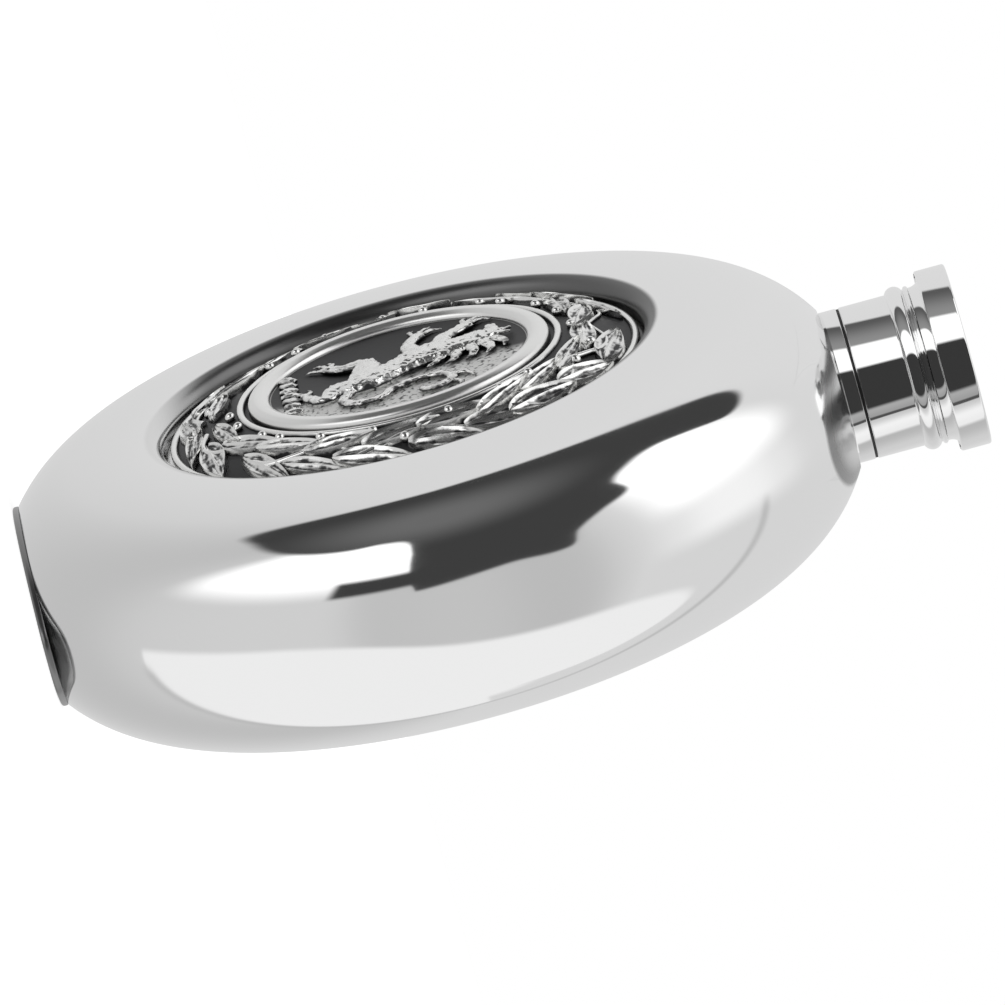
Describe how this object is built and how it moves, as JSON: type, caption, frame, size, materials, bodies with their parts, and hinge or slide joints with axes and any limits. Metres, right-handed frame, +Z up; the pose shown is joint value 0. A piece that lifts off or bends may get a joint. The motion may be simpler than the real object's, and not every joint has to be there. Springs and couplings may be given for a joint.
{
  "type": "hip flask",
  "caption": "Round polished steel hip flask with an oval foot, a short neck with a right-hand screw cap, and a domed cast badge set in a recess of its front face.",
  "frame": {"origin": "middle of the foot's underside, on the cap's axis", "axes": "+Z up along the neck and cap, -Y out of the face with the badge, +X to the right of someone facing that badge"},
  "size_m": [0.1008, 0.0321, 0.11],
  "materials": {
    "polished_steel": "mirror-polished stainless steel",
    "pewter": "cast pewter, dark in the hollows and bright on the high places",
    "black_rubber": "moulded food-grade rubber",
    "white_silicone": "translucent white silicone",
    "black_plastic": "moulded black plastic thread insert",
    "adhesive": "cured epoxy film"
  },
  "bodies": {
    "flask": {"front_shell": "polished_steel", "back_shell": "polished_steel", "foot_plate": "polished_steel", "neck_collar": "polished_steel", "neck_gasket": "black_rubber", "neck_spout": "polished_steel", "badge": "pewter", "badge_pad": "adhesive"},
    "seal": {"cap_washer": "white_silicone"},
    "cap": {"cap_shell": "polished_steel", "cap_liner": "black_plastic"}
  },
  "joints": [
    {"name": "cap_lift", "type": "slide", "parent": "flask", "child": "seal", "axis": [0, 0, 1], "range_m": [0, 0.0101]},
    {"name": "cap_turn", "type": "hinge", "parent": "seal", "child": "cap", "pos_m": [0, 0, 0.105], "axis": [0, 0, 1], "range_deg": [0, 1800]}
  ],
  "couplings": [
    {"joint": "cap_lift", "follows": "cap_turn", "m_per_rad": 0.00031831}
  ]
}
